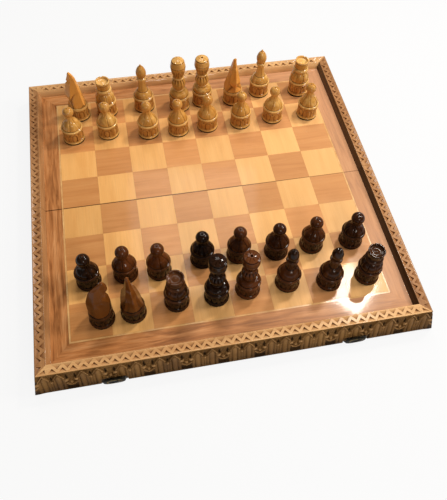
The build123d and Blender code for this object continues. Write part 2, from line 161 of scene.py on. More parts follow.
def add_mesh(name, points, faces, body, materials, which=None, **attributes):
    """A mesh object from points in mm and a list of face index arrays, riding on a body; which
    is the number of each face's material where there are several."""
    mesh = bpy.data.meshes.new(name)
    mesh.vertices.add(len(points))
    mesh.vertices.foreach_set("co", (points * mm).astype(np.float32).ravel())
    corners = np.concatenate([f.ravel() for f in faces]).astype(np.int32)
    sizes = np.concatenate([np.full(len(f), f.shape[1]) for f in faces])
    starts = np.concatenate([[0], np.cumsum(sizes)[:-1]]).astype(np.int32)
    mesh.loops.add(len(corners))
    mesh.loops.foreach_set("vertex_index", corners)
    mesh.polygons.add(len(sizes))
    mesh.polygons.foreach_set("loop_start", starts)
    if which is not None:
        mesh.polygons.foreach_set("material_index", which.astype(np.int32))
    mesh.update(calc_edges=True)
    mesh.validate()
    mesh.polygons.foreach_set("use_smooth", np.ones(len(sizes), bool))
    mesh.set_sharp_from_angle(angle=math.radians(sharp_angle))
    for attribute, values in attributes.items():
        layer = mesh.attributes.new(attribute, "FLOAT", "POINT")
        layer.data.foreach_set("value", values.astype(np.float32).ravel())
    for material in materials:
        mesh.materials.append(material)
    piece = add_object(name, mesh)
    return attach(piece, body)


def quads(rows, columns):
    """Index array of the quads of a grid whose last column joins its first."""
    row, column = np.meshgrid(np.arange(rows - 1), np.arange(columns), indexing="ij")
    after = (column + 1) % columns
    here = row * columns
    corners = [here + column, here + after, here + columns + after, here + columns + column]
    return np.stack(corners, -1).reshape(-1, 4)


def closed_faces(rows, columns):
    """Quads of a grid wrapped round an axis, and the two fans at its poles, for points that
    hold the inner rows followed by the first and last pole."""
    inner = rows - 2
    around = np.arange(columns)
    after = (around + 1) % columns
    first, last = inner * columns, inner * columns + 1
    bottom = np.stack([np.full(columns, first), after, around], -1)
    base = (inner - 1) * columns
    top = np.stack([np.full(columns, last), base + around, base + after], -1)
    return [quads(inner, columns), bottom, top]


def with_poles(grid):
    """A grid's inner rows as a list of points, then its first and last rows as one point each."""
    inner = grid[1:-1].reshape(-1, grid.shape[-1])
    return np.concatenate([inner, grid[:1, 0], grid[-1:, 0]])


def add_closed(name, grid, body, material, **attributes):
    """A closed piece from a grid round an axis, which its attributes' grids match."""
    values = {key: with_poles(value[..., None])[:, 0] for key, value in attributes.items()}
    return add_mesh(name, with_poles(grid), closed_faces(*grid.shape[:2]), body, [material], **values)


def turned_about_z(x, y, z, angle):
    """Grid of points from their coordinates, turned about the upright axis."""
    cos, sin = math.cos(angle), math.sin(angle)
    return np.stack([x * cos - y * sin, x * sin + y * cos, z + 0 * x], -1)


def round_axis(columns):
    """Row of evenly spaced angles right round an axis."""
    return np.arange(columns)[None, :] * math.tau / columns


def rings(radius, angle, z):
    """Grid of points round the axis from their radii, angles and heights."""
    return np.stack([radius * np.cos(angle), radius * np.sin(angle), z + 0 * radius], -1)


# ---- outlines of turned pieces
def arc(start, through, end, step):
    """Points on the circle through three points, from just after start to end."""
    (ax, ay), (bx, by), (cx, cy) = start, through, end
    d = 2 * (ax * (by - cy) + bx * (cy - ay) + cx * (ay - by))
    a2, b2, c2 = ax * ax + ay * ay, bx * bx + by * by, cx * cx + cy * cy
    ox = (a2 * (by - cy) + b2 * (cy - ay) + c2 * (ay - by)) / d
    oy = (a2 * (cx - bx) + b2 * (ax - cx) + c2 * (bx - ax)) / d
    first, middle, last = [math.atan2(y - oy, x - ox) for x, y in (start, through, end)]
    turn = (last - first) % math.tau
    if (middle - first) % math.tau > turn:
        turn -= math.tau
    radius = math.hypot(ax - ox, ay - oy)
    count = max(2, math.ceil(abs(turn) * radius / step))
    angle = first + turn * np.arange(1, count + 1) / count
    return np.stack([ox + radius * np.cos(angle), oy + radius * np.sin(angle)], -1)


def line(start, end, step):
    """Points on a straight run, from just after start to end."""
    count = max(1, math.ceil(math.dist(start, end) / step))
    share = np.arange(1, count + 1)[:, None] / count
    return np.array(start) + share * (np.array(end) - np.array(start))


class Outline:
    """A turned piece's outline, from the axis at its foot to the axis at its top. Each run belongs
    to a named zone, and a point's share is how far along its zone it lies, from 0 to 1."""

    def __init__(self, radius, z, top):
        self.points = [np.array([[radius, z]])]
        self.zones = []
        self.last = (radius, z)
        self.top = top

    def level(self, share):
        """Height at a share of the way from the foot's ring to the top."""
        return ring_top + share * (self.top - ring_top)

    def to(self, zone, radius, z, through=None, step=row_step):
        """A straight run to a radius and height, or an arc to it through another point."""
        end = (radius, z)
        new = line(self.last, end, step) if through is None else arc(self.last, through, end, step)
        self.points.append(new)
        self.zones += [zone] * len(new)
        self.last = end
        return self

    def up(self, zone, radius, share, through=None):
        """The same with heights given as shares of the way to the top."""
        if through is not None:
            through = (through[0], self.level(through[1]))
        return self.to(zone, radius, self.level(share), through)

    def finish(self):
        """Points with their corners eased, outward normals, zones and shares."""
        points = np.concatenate(self.points)
        zones = np.array([self.zones[0]] + self.zones)
        eased = points.copy()
        eased[1:-1] = 0.25 * points[:-2] + 0.5 * points[1:-1] + 0.25 * points[2:]
        tangent = np.gradient(eased, axis=0)
        normal = np.stack([tangent[:, 1], -tangent[:, 0]], -1)
        normal /= np.linalg.norm(normal, axis=1, keepdims=True) + 1e-9
        length = np.concatenate([[0], np.cumsum(np.linalg.norm(np.diff(points, axis=0), axis=1))])
        share = np.zeros(len(points))
        for zone in set(self.zones):
            mine = zones == zone
            low, high = length[mine].min(), length[mine].max()
            share[mine] = (length[mine] - low) / (high - low + 1e-9)
        return eased, normal, zones, share


# ---- cuts of the carver's knife
def across(angle, count, radius):
    """Signed distance round the piece from the nearest of count evenly spaced lines, mm."""
    return ((angle * count / math.tau + 0.5) % 1 - 0.5) * math.tau * radius / count


def nearest(angle, count):
    """Angle to the nearest of count evenly spaced lines, as a share of half their spacing."""
    return np.abs((angle * count / math.tau + 0.5) % 1 - 0.5) * 2


def vee(distance, half_width):
    """Depth of a V cut as a share, from 1 on its line to 0 at its edges."""
    return np.clip(1 - np.abs(distance) / np.maximum(half_width, 0.001), 0, 1)


def fade(share, low, high):
    """0 below low, 1 above high, smooth between."""
    t = np.clip((share - low) / (high - low), 0, 1)
    return t * t * (3 - 2 * t)


def between(share, start, end, edge):
    """1 from start to end, fading to 0 over edge at both."""
    return fade(share, start - edge, start) * (1 - fade(share, end, end + edge))


def arcade(angle, share, count, radius, height, depth):
    """Round-headed niches with a raised leaf in each, a flute and a punched nick between them."""
    u = across(angle, count, radius)
    v = share * height
    bay = math.tau * radius / count
    half = 0.30 * bay
    spring = 0.82 * height - half
    edge = np.hypot(u, np.maximum(v - spring, 0)) - half
    inside = (edge < 0) & (v > 0.07 * height)
    leaf_rise = (v - 0.5 * spring - 0.2 * height) / (0.48 * height)
    leaf = np.clip(1 - (u / (half - 0.6)) ** 2 - leaf_rise**2, 0, 1)
    floor = np.where(inside, 0.75 - 0.75 * np.sqrt(leaf), 0)
    frame_line = vee(edge, 0.9) * between(share, 0.07, 1.0, 0.05)
    beside = np.abs(u) - bay / 2
    flute = 0.6 * vee(beside, 0.17 * bay) * between(share, 0.10, 0.55, 0.08)
    nick = vee(beside, 0.22 * bay * np.clip((share - 0.64) / 0.2, 0, 1)) * (share < 0.90)
    return depth * np.maximum.reduce([floor, frame_line, flute, nick])


def drum_arcade(angle, share):
    """The carved niches round every drum."""
    height = drum_top - felt_thickness - foot_height
    return arcade(angle, share, niche_count, drum_radius, height, niche_depth)


def panels(angle, share, count, radius, height, depth):
    """Round-headed sunk panels, each in a raised border with a line cut round it."""
    half = 0.26 * math.tau * radius / count
    spring = 0.74 * height - half
    above_spring = np.maximum(share * height - spring, 0)
    edge = np.hypot(across(angle, count, radius), above_spring) - half
    sunk = 0.55 * (1 - fade(edge, -0.9, -0.2))
    inner_line, border_line = 0.8 * vee(edge + 0.5, 0.6), vee(edge - 1.3, 0.7)
    return depth * np.maximum.reduce([sunk, inner_line, border_line]) * between(share, 0.06, 1.0, 0.05)


def seams(angle, share, count, radius, width, low, high):
    """V cuts running up a skirt, with the wood between them slightly crowned."""
    cut = vee(across(angle, count, radius), width) * between(share, low, high, 0.08)
    crown = 0.22 * (1 - nearest(angle, count)) ** 2 * between(share, low, high, 0.1)
    return np.maximum(cut, crown)


def flutes(angle, share, count, radius):
    """Narrow V cuts round a bead that widen towards its top."""
    cut = vee(across(angle, count, radius), 0.4 + 2.2 * share**2) * between(share, 0.1, 0.90, 0.06)
    return cut * (0.4 + 0.6 * fade(share, 0.3, 0.8))


def swags(angle, share, count, middle, rise, half_width):
    """A line that hangs in arcs round a bulb."""
    line_share = middle + rise * np.abs(np.sin(angle * count / 2))
    return vee(share - line_share, half_width)


def star(angle, share):
    """Rays cut from the middle of a lid towards its edge."""
    return 0.7 * vee(nearest(angle, 8), 0.22) * between(share, 0.15, 0.8, 0.1)


# ---- turned and carved pieces
def foot_outline(top):
    """Felt seat, foot band, drum and ring, shared by every piece; top is where level(1) lies."""
    foot_top = felt_thickness + foot_height
    ring_middle = (ring_radius, (drum_top + ring_top) / 2 + 0.1)
    outline = Outline(0, felt_thickness, top)
    outline.to("seat", foot_radius - 0.7, felt_thickness, step=4)
    outline.to("band", foot_radius, felt_thickness + 0.6)
    outline.to("band", foot_radius, foot_top - 0.9)
    outline.to("band", drum_radius, foot_top)
    outline.to("drum", drum_radius, drum_top - 0.8)
    outline.to("groove", drum_radius - 1.6, drum_top - 0.3)
    outline.to("ring", shoulder_radius - 0.2, ring_top, ring_middle)
    outline.to("groove", shoulder_radius - 1.1, ring_top + 0.3)
    return outline


def cap_through(edge, edge_z, top_z):
    """Point halfway out on a round cap, which is level where it meets the axis."""
    rise = top_z - edge_z
    bend = (edge**2 + rise**2) / (2 * rise)
    side = math.copysign(math.sqrt(bend**2 - edge**2 / 4), rise)
    return (edge / 2, top_z - bend + side)


def pawn(height, head, hip, hollow):
    """The skirt swells to its hip and then sweeps in through the hollow to the neck."""
    neck, nib, nib_height = 4.7, 1.2, 0.9
    centre = height - nib_height - head
    neck_z = centre - math.sqrt(head**2 - neck**2)
    nib_z = centre + math.sqrt(head**2 - nib**2)
    ball_top = centre + math.sqrt(head**2 - (2 * nib) ** 2)
    outline = foot_outline(neck_z)
    outline.to("skirt", shoulder_radius - 0.6, ring_top + 1.1)
    outline.up("skirt", hollow, 0.54, (hip, 0.27))
    outline.to("skirt", neck, neck_z, (0.5 * (neck + hollow) - 1.0, outline.level(0.77)))
    outline.to("groove", neck + 0.1, neck_z + 0.3)
    outline.to("ball", 2.0 * nib, ball_top, (head, centre))
    outline.to("eye", 1.5 * nib, nib_z - 0.5).to("eye", nib, nib_z - 0.2)
    outline.to("nib", 0.6 * nib, height).to("nib", 0, height)
    return outline, {"skirt": lambda a, s: 0.8 * seams(a, s, 6, 9, 0.9, 0.05, 0.86)}


def rook(height, rim):
    """Bulging body, waist, collar, and a flared turret with a notched rim round a cup."""
    bulge, waist, collar, turret, cup_depth = 13.4, 8.6, 11.2, 9.2, 3.6
    cup = rim - 1.8
    outline = foot_outline(height)
    outline.up("body", waist, 0.45, (bulge, 0.19)).up("groove", waist - 0.3, 0.46)
    outline.up("collar", turret, 0.64, (collar, 0.56)).up("groove", turret - 0.5, 0.655)
    outline.up("turret", turret + 0.1, 0.68).up("turret", rim - 0.3, 0.89, (turret + 0.2, 0.78))
    outline.up("groove", rim - 0.8, 0.905).up("crest", rim, 0.92)
    outline.to("crest", rim, height).to("crest", cup, height)
    outline.to("cup", cup - 0.5, height - 0.8 * cup_depth)
    outline.to("cup", 0.55 * cup, height - cup_depth).to("cup", 0, height - cup_depth + 0.9)
    return outline, {
        "body": lambda a, s: 0.9 * seams(a, s, 8, 11, 0.9, 0.05, 0.85),
        "crest": lambda a, s: 1.2 * vee(across(a, 4, rim), 1.4) * between(s, 0.25, 0.95, 0.1),
    }


def bishop(height, head, collar, dome_share, dome_top):
    """Dome up to its share of the height, neck, collar and a pointed ball of a head."""
    dome, neck, nib = 11.5, 5.0, 1.2
    nib_z = height - 2.8
    outline = foot_outline(height)
    dome_z = outline.level(dome_share)
    outline.to("dome", dome_top, dome_z, (dome, 0.45 * ring_top + 0.55 * dome_z))
    outline.to("groove", dome_top - 0.9, dome_z + 0.5)
    outline.up("neck", neck, 0.42, (neck + 0.7, 0.5 * dome_share + 0.21))
    outline.up("neck", neck, 0.51).up("groove", neck - 0.1, 0.52)
    outline.up("collar", neck, 0.59, (collar, 0.555)).up("groove", neck, 0.605)
    outline.up("head", 0.8 * head, 0.85, (head, 0.74))
    outline.to("head", 1.7 * nib, nib_z, (0.56 * head, outline.level(0.91)))
    outline.to("eye", 1.3 * nib, nib_z - 0.3).to("nib", 1.2 * nib, nib_z + 1.0)
    outline.to("nib", 0.7 * nib, height).to("nib", 0, height)
    return outline, {
        "dome": lambda a, s: 0.5 * vee(s - 0.22, 0.06),
        "neck": lambda a, s: 0.6 * seams(a, s, 6, neck, 0.7, 0.02, 0.8),
    }


def royal(height, widest_share, lid):
    """King or queen up to the lid: bulb, neck, fluted bead, and a tulip crown with panels."""
    bulb, neck, flare, bead, crown = 12.9, 6.2, 1.0, 9.9, 10.9
    outline = foot_outline(height)
    lower, middle, upper, widest, lid_z = [
        outline.level(share) for share in (0.18, 0.345, 0.51, widest_share, 0.965)]
    outline.to("bulb", neck + flare, lower - 2.0, (bulb, outline.level(0.09)))
    outline.to("groove", neck, lower - 1.7)
    outline.to("collar", neck, lower + 0.1, (neck + 1.4, lower - 0.8))
    outline.to("bead", neck, middle + 0.45 * (upper - lower), (bead, middle))
    outline.to("collar", neck + flare, upper + 1.0, (neck + 2.0, upper - 0.1))
    outline.to("groove", neck + flare - 0.3, upper + 1.2)
    outline.to("crown", crown, widest, (9.4, (upper + widest) / 2))
    outline.to("groove", crown - 0.6, widest + 0.5).to("band", crown - 0.1, widest + 1.0)
    outline.to("band", lid + 0.7, lid_z - 1.3).to("groove", lid - 0.6, lid_z - 1.0)
    outline.to("lid", lid, lid_z - 0.5).to("lid", lid, lid_z)
    return outline, {
        "bulb": lambda a, s: 0.5 * swags(a, s, 5, 0.30, 0.40, 0.08),
        "bead": lambda a, s: 1.4 * flutes(a, s, 12, bead),
        "crown": lambda a, s: panels(a, s, 6, crown - 1.0, widest - upper, 1.5),
        "top": star,
    }


def king(height, lid):
    """A closed cap over the lid."""
    outline, cuts = royal(height, 0.81, lid)
    outline.to("top", 0, height, cap_through(*outline.last, height))
    return outline, cuts


def queen(height, lid):
    """A flat cap with a drilled eye."""
    hole, hole_depth = 1.5, 3.0
    outline, cuts = royal(height, 0.80, lid)
    outline.to("top", hole, height - 0.05, cap_through(*outline.last, height))
    outline.to("eye", hole, height - hole_depth).to("eye", 0, height - hole_depth)
    return outline, cuts


# how dark with stain each zone is, and how pale with wear and painted highlight (rings, collars, crests,
# lids; the cup floor a painted sheen), from 0 to 1
zone_marks = {
    "stained": {"drum": 0.7, "ball": 0.4, "head": 0.4, "eye": 1.0},
    "worn": {"ring": 0.3, "collar": 0.3, "crest": 0.3, "top": 0.3, "cup": 0.45, "band": 0.15},
}


def marks_of(depth, zones):
    """On the grid, how dark the cuts are (partly stain, partly painted shade) and the grooves (painted
    shade), how stained each zone is, and how pale with wear and painted highlight.
    """
    # grooves between parts darkened: painted shade
    marks = {"cut": np.maximum(np.clip(depth - 0.3, 0, 1), 0.9 * (zones == "groove")[:, None])}
    for mark, shares in zone_marks.items():
        marks[mark] = np.array([[shares.get(zone, 0.0)] for zone in zones]) + 0 * depth
    return marks


def turned_surface(outline, cuts, turn):
    """Grid of points round the axis by angle and along the outline, pushed in along the
    outline's normal by the depth of each zone's cut; with how cut and how stained each is."""
    points, normal, zones, share = outline.finish()
    angle = round_axis(turned_columns)
    depth = np.zeros((len(points), turned_columns))
    unevenness = 1 + 0.12 * np.sin(3 * angle + turn) + 0.08 * np.sin(7 * angle + 2.3 * turn)
    for zone, carving in cuts.items():
        mine = zones == zone
        depth[mine] = carving(angle + 0 * share[mine, None], share[mine, None] + 0 * angle) * unevenness
    radius = np.maximum(points[:, :1] - normal[:, :1] * depth, 0)
    z = points[:, 1:] - normal[:, 1:] * depth
    return rings(radius, angle + turn, z), marks_of(depth, zones)


# ---- knights
# edges of each blade: share of the way up, then share of the reach
light_front = [(0.0, 0.94), (0.07, 0.86), (0.15, 0.74), (0.22, 0.86), (0.31, 0.98), (0.45, 0.88),
               (0.59, 0.81), (0.70, 0.69), (0.735, 0.50), (0.77, 0.60), (0.90, 0.42), (0.97, 0.36),
               (1.0, 0.27)]
light_back = [(0.0, -0.76), (0.20, -0.64), (0.43, -0.51), (0.64, -0.39), (0.81, -0.25),
              (0.93, -0.02), (1.0, 0.22)]
dark_left_front = [(0.0, 0.92), (0.20, 0.91), (0.43, 0.88), (0.51, 0.82), (0.64, 0.68), (0.78, 0.50),
                   (0.81, 0.44), (0.89, 0.02), (1.0, -0.62)]
dark_left_back = [(0.0, -0.92), (0.14, -0.98), (0.33, -0.97), (0.42, -0.74), (0.51, -0.40),
                  (0.60, -0.62), (0.73, -0.98), (0.83, -0.98), (0.92, -0.88), (1.0, -0.70)]
dark_right_front = [(0.0, 0.92), (0.20, 0.92), (0.34, 0.84), (0.45, 0.66), (0.55, 0.60), (0.62, 0.50),
                    (0.66, 0.34), (0.72, 0.40), (0.86, 0.16), (1.0, -0.12)]
dark_right_back = [(0.0, -0.92), (0.14, -0.96), (0.33, -0.92), (0.43, -0.78), (0.52, -0.54),
                   (0.65, -0.50), (0.80, -0.44), (1.0, -0.28)]
# throat line on both sides of a blade: up and ahead, mm
light_throat = [(25, 6.5), (31, 7.8), (36, 7.0), (41.5, 4.3), (45, 0.8), (48, -3.7)]
dark_throat = [(25, 9.0), (30, 9.6), (36, 9.4), (41, 8.0), (45, 5.6), (48, 2.0)]


def section(ahead, behind, thick):
    """Blade's section at each level, from its front edge round its left side to the back and
    round its right side: a narrow front, a chamfer, a flat side and a small back chamfer."""
    half = knight_columns // 2
    column = np.arange(knight_columns)
    side = np.where(column <= half, column, knight_columns - column)
    corners = np.array([0, 0.04, 0.30, 0.86, 0.97, 1.0]) * half
    length = ahead - behind
    chamfer = np.minimum(6.0, 0.42 * length)
    ease = np.minimum(1.8, 0.2 * length)
    nose = 0.08 * thick
    knots_x = np.stack([ahead, ahead, ahead - chamfer, behind + ease, behind, behind])
    knots_y = np.stack([0 * thick, nose, thick, thick, 0.55 * thick, 0 * thick])
    x = np.array([np.interp(side, corners, knots) for knots in knots_x.T])
    y = np.array([np.interp(side, corners, knots) for knots in knots_y.T])
    return x, np.where(column <= half, y, -y)


def throat_cut(x, z, throat, strength):
    """Depth of a tapering knife cut along the throat, and of the shelf it leaves behind it."""
    line_x = np.interp(z, *zip(*throat))
    lean = np.hypot(1, np.gradient(line_x[:, 0], z[:, 0]))[:, None]
    behind = (line_x - x) / lean
    width = np.interp(z, (24, 31, 42, 48), (2.4, 2.3, 1.2, 0.5))
    deep = strength * np.interp(z, (24, 31, 42, 48, 48.1), (2.4, 2.8, 1.8, 0.5, 0))
    shelf = 0.35 * deep * np.exp(-np.maximum(behind, 0) / 5) * (behind > 0)
    return np.maximum(deep * vee(behind, width), shelf)


def knight_blade(up, z, front, back, throat, strength):
    """Rows of a blade cut from the blank by two leaning planes: at each level its section between
    the front and back edges, kept within the blank's circle, with the throat cut into both
    sides. Its marks also tell where the planes took the wood away. The last value is each
    column's angle at the foot."""
    ahead, behind = [knight_reach * np.interp(up, *zip(*edge)) for edge in (front, back)]
    for edge in (ahead, behind):
        edge[1:-1] = np.convolve(edge, (0.2, 0.6, 0.2), "valid")
    thick = knight_top_half + (knight_foot_half - knight_top_half) * (1 - up) ** 1.5
    x, y = section(ahead, behind, thick * np.sqrt(np.clip((1 - up) / 0.02, 0.04, 1)))
    pressed = throat_cut(x, z[:, None], throat, strength)
    y *= 1 - np.clip(pressed / thick[:, None], 0, 0.75)
    radius = np.hypot(x, y)
    blank = np.interp(z - ring_top, *zip(*knight_blank))[:, None]
    limit = np.minimum(1, blank / np.maximum(radius, 0.01))
    grid = np.stack([x * limit, y * limit, z[:, None] + 0 * x], -1)
    # dark line where the flats meet the blank: painted shade
    crease_shade = 0.9 * vee(radius - blank, 0.7) * (z[:, None] < ring_top + 16)
    plain = 0 * radius
    # the throat cut darkened: partly stain, partly painted shade
    marks = {"cut": np.maximum(0.3 * pressed, crease_shade), "stained": plain, "worn": plain,
             "flat": fade(blank - radius, 0.1, 0.8)}
    return grid, marks, np.arctan2(y[0], x[0])[None, :]


def knight_foot(outline, angle):
    """Rows of the turned foot and shoulder under a blade, with columns at the blade's angles."""
    points, _, zones, share = outline.finish()
    keep = points[:, 1] < drum_top - 0.3
    rows = np.concatenate([points[keep], knight_shoulder])
    zones = np.concatenate([zones[keep], ["ring", "ring", "ring", "groove", "groove"]])
    cut = np.zeros((len(rows), knight_columns))
    mine = zones == "drum"
    cut[mine] = drum_arcade(angle, share[keep][mine[:keep.sum()], None])
    radius = rows[:, :1] - cut
    return rings(radius, angle, rows[:, 1:]), marks_of(cut, zones) | {"flat": 0 * radius}


def knight_surface(height, front, back, throat, strength, heading):
    """Grid and marks of a knight: the blade over its foot, turned to its heading in degrees."""
    outline = foot_outline(height)
    up = np.linspace(0, 1, knight_levels)
    blade, blade_marks, angle = knight_blade(up, outline.level(up), front, back, throat, strength)
    foot, foot_marks = knight_foot(outline, angle)
    x, y, z = np.moveaxis(np.concatenate([foot, blade]), -1, 0)
    marks = {key: np.concatenate([low, blade_marks[key]]) for key, low in foot_marks.items()}
    return turned_about_z(x, y, z, math.radians(heading)), marks


# ---- carved rails
def jitter(number, spread):
    """A small fixed unevenness for each numbered cut, up to spread either way."""
    return spread * np.sin(12.9898 * number + 4.1414 * number**2)


def chips(along, offset, reach, skip_middle):
    """Height of a row of stabbed triangles at each place along the rim: greatest at a chip's
    apex and nothing at the ends of its base. offset is 0 or 0.5 of a pitch."""
    number = np.round(along / chip_pitch - offset)
    distance = np.abs(along - (number + offset) * chip_pitch)
    height = (chip_height + jitter(number + 40 * offset, 0.35)) * (1 - distance / (chip_base / 2))
    there = (number >= -reach) & (number <= reach - 2 * offset)
    if skip_middle:
        there &= number + offset != 0
    return np.where(there, np.maximum(height, 0), 0)


def dome(beside, below, radius):
    """Height of a half ball as a share, 0 outside it; of a half-round reed where below is 0."""
    return np.sqrt(np.clip(1 - (beside / radius) ** 2 - (below / radius) ** 2, 0, 1))


def stab(beside, half_width, down, top, growth):
    """Share of a stab's depth: it widens downwards from its top to the foot of the stabs."""
    return vee(beside, half_width * np.clip((down - top) / growth, 0, 1)) * (down < stab_foot)


def arches(along, down, first):
    """Depth of the relief on a rail's outer face, with how dark it is (painted shade in the holes,
    the grooves and towards the foot), how rough, and how pale (partly wear, partly painted highlight).
    Under the sunk ground stand pointed arches in pairs, their line falling from an apex by a power
    of the distance beside it, filled with reeds. Holes are stabbed between and beside them,
    and balls over a crescent sit between pairs. along runs down the rail, down from its top
    edge; first is a pair's middle."""
    u = (along - first + pair_pitch / 2) % pair_pitch - pair_pitch / 2
    outward_side = np.abs(u) - arch_offset
    beside = np.abs(outward_side)
    gap = pair_pitch / 2 - np.abs(u)  # from the middle between two pairs
    above = arch_top + arch_fall * (beside / arch_half) ** arch_power - down
    under = above < 0
    reeds = np.maximum.reduce([dome(beside, 0, 3.3), 0.8 * dome(beside - 5.3, 0, 2.0), 0.8 * dome(u, 0, 1.6)])
    reeds = reeds * fade(-above, 2.0, 3.6)
    ridge = (1 - fade(np.abs(above), 0.5, 1.5)) * fade(gap, 4.0, 5.5)
    depth = ground_depth * fade(down, 0.8, 2.0) * fade(above, 0.8, 2.4)
    depth = np.where(under, floor_depth - 2.0 * reeds, depth) * (1 - ridge)
    depth = np.where(under & (gap < 6.0), floor_depth, depth)
    stabs = stab(u, 2.5, down, 8.0, 5), stab(outward_side - 8.4, 2.4, down, 7.0, 6)
    holes = np.sqrt(np.maximum.reduce([*stabs, dome(gap - 2.9, down - 22.0, 1.5)]))
    depth = np.maximum(depth, hole_depth * holes)
    small_balls = 0.8 * dome(gap, down - 21.5, 2.2), 0.8 * dome(u, down - 17.6, 1.9)
    balls = np.maximum.reduce([dome(gap - 5.6, down - 17.2, 2.7), *small_balls])
    depth = np.where(balls > 0, floor_depth - 2.3 * balls, depth)
    crescent = vee(np.hypot(gap, (down - 19.0) * 0.9) - 6.4, 1.4) * (down > 21.5) * (gap < 6.6)
    depth = depth * (1 - crescent) + 0.1 * crescent
    foot = fade(down, 31.8, 32.8)
    rough = (down > 1.5) & (above > 1.4) & (balls == 0)
    # upper reeds paler than lower ones: painted highlight
    worn_reeds = 0.25 * reeds * (1 - fade(down, 8, 24))
    # pale ridges, balls and crescents: partly wear, partly painted highlight
    worn = np.maximum.reduce([0.55 * ridge, 0.6 * balls, 0.45 * crescent, worn_reeds]) * (1 - holes)
    # grooves between the reeds darkened: painted shade
    grooves = np.where(under & (balls == 0), 0.55 * (1 - reeds) * (1 - ridge) * (1 - crescent), 0)
    # dark in holes and grooves, and darker towards the foot: painted shade
    dark = np.clip(np.maximum(holes, grooves) + 0.45 * fade(down, 22, 33), 0, 1)
    return depth * (1 - foot) + 0.5 * foot, dark, rough.astype(float), worn


def toward_mitre(along, distance):
    """Place along a rail of each column of a row that lies at this distance out: past where the
    corner's mitre begins, the columns close up so that every row ends on the mitre."""
    squeeze = (distance - mitre_start) / (rail_foot - mitre_start)
    beyond = np.maximum(np.abs(along) - mitre_start, 0)
    return np.sign(along) * (np.minimum(np.abs(along), mitre_start) + beyond * squeeze)


def rim_rows(along, split):
    """Rows from the foot of a rail's inner wall over its top: distance out, height, and the depth
    of chip that is painted as shade. A rail that is split at the fold has no chip there on its inner row."""
    inner_edge = rim_inner_top + chip_margin_inner
    outer_edge = rim_outer_top - chip_margin_outer
    inner_cut = chips(toward_mitre(along, inner_edge), 0.0, inner_chips, split)
    outer_cut = chips(toward_mitre(along, outer_edge), 0.5, outer_chips, False)
    slope = chip_depth / chip_height
    rows = [
        (inner_wall, open_face_z, 0),
        (inner_wall, panel_bottom_z, 0),
        (inner_wall + panel_groove, panel_bottom_z, 0),
        (inner_wall + panel_groove, panel_top_z, 0),
        (inner_wall, panel_top_z, 0),
        (inner_wall, playing_z, 0),
        (rim_inner_top - 0.4 * rim_easing, rim_top_z - rim_easing, 0),
        (rim_inner_top + rim_easing, rim_top_z, 0),
        (inner_edge, rim_top_z, 0),
        (inner_edge + inner_cut, rim_top_z - slope * inner_cut, inner_cut / chip_height),
        (inner_edge + inner_cut + chip_wall, rim_top_z, 0),
        (outer_edge - outer_cut - chip_wall, rim_top_z, 0),
        (outer_edge - outer_cut, rim_top_z - slope * outer_cut, outer_cut / chip_height),
        (outer_edge, rim_top_z, 0),
        (rim_outer_top - rim_easing, rim_top_z, 0),
    ]
    return [np.concatenate([value + 0 * along for value in values]) for values in zip(*rows)]


def face_rows(along, first, pads):
    """Even rows down a rail's outer face, pushed in square to it by the relief and flat on the
    latch pads: distance out, height, how dark (painted shade; half dark on the pads), how rough,
    and how pale with wear and painted highlight."""
    rise = rim_top_z - open_face_z
    slant = math.hypot(rail_flare, rise)
    down = np.linspace(0.3, slant, round(slant / face_step))[:, None]
    out = rim_outer_top + rail_flare * down / slant
    place = toward_mitre(along, out)
    relief, *marks = arches(place, down, first)
    fade_end = rail_foot - corner_clear
    relief *= 1 - fade(np.abs(place), fade_end - corner_fade, fade_end)
    distance = out - relief * (rise / slant)
    height = np.maximum(rim_top_z - rise / slant * down - relief * rail_flare / slant, open_face_z)
    on_pad = np.zeros_like(height, bool)
    for pad in pads:
        on_pad |= (place > pad - pad_left) & (place < pad + pad_right)
    on_pad &= height < open_face_z + rise * pad_recess / rail_flare
    pad_values = (rail_foot - pad_recess, height, 0.5, 0, 0)
    values = (distance, height, *marks)
    return [np.where(on_pad, flat, value) for flat, value in zip(pad_values, values)]


def rail_surface(start, end, first, quarter_turns, pads, painted_wall_shade):
    """Grid of a rail from start to end along it, its marks, and how many of its rows come before
    the outer face. Its section is laid out for the near side, then turned to its own."""
    step = chip_pitch / rail_columns_per_chip  # puts a column on each chip's apex
    along = np.arange(math.ceil(start / step), math.floor(end / step) + 1) * step
    along = np.unique(np.concatenate([[start], along[(along > start) & (along < end)], [end]]))[None, :]
    rim_out, rim_z, rim_chip_shade = rim_rows(along, quarter_turns % 2 == 1)
    face_out, face_z, dark, rough, worn = face_rows(along, first, pads)
    distance, height = np.concatenate([rim_out, face_out]), np.concatenate([rim_z, face_z])
    plain = 0 * rim_z
    shade = 0 * height
    # painted shade on the rows of the inner wall
    shade[:wall_rows] = painted_wall_shade
    # cut carries painted shade: in the chips, and on the outer face in the holes, the grooves and towards the
    # foot
    marks = {"cut": np.concatenate([rim_chip_shade, dark]), "ground": np.concatenate([plain, rough]),
             "worn": np.concatenate([plain, worn]), "shade": shade}
    turn = quarter_turns * math.pi / 2
    return turned_about_z(toward_mitre(along, distance), -distance, height, turn), marks, len(rim_z)


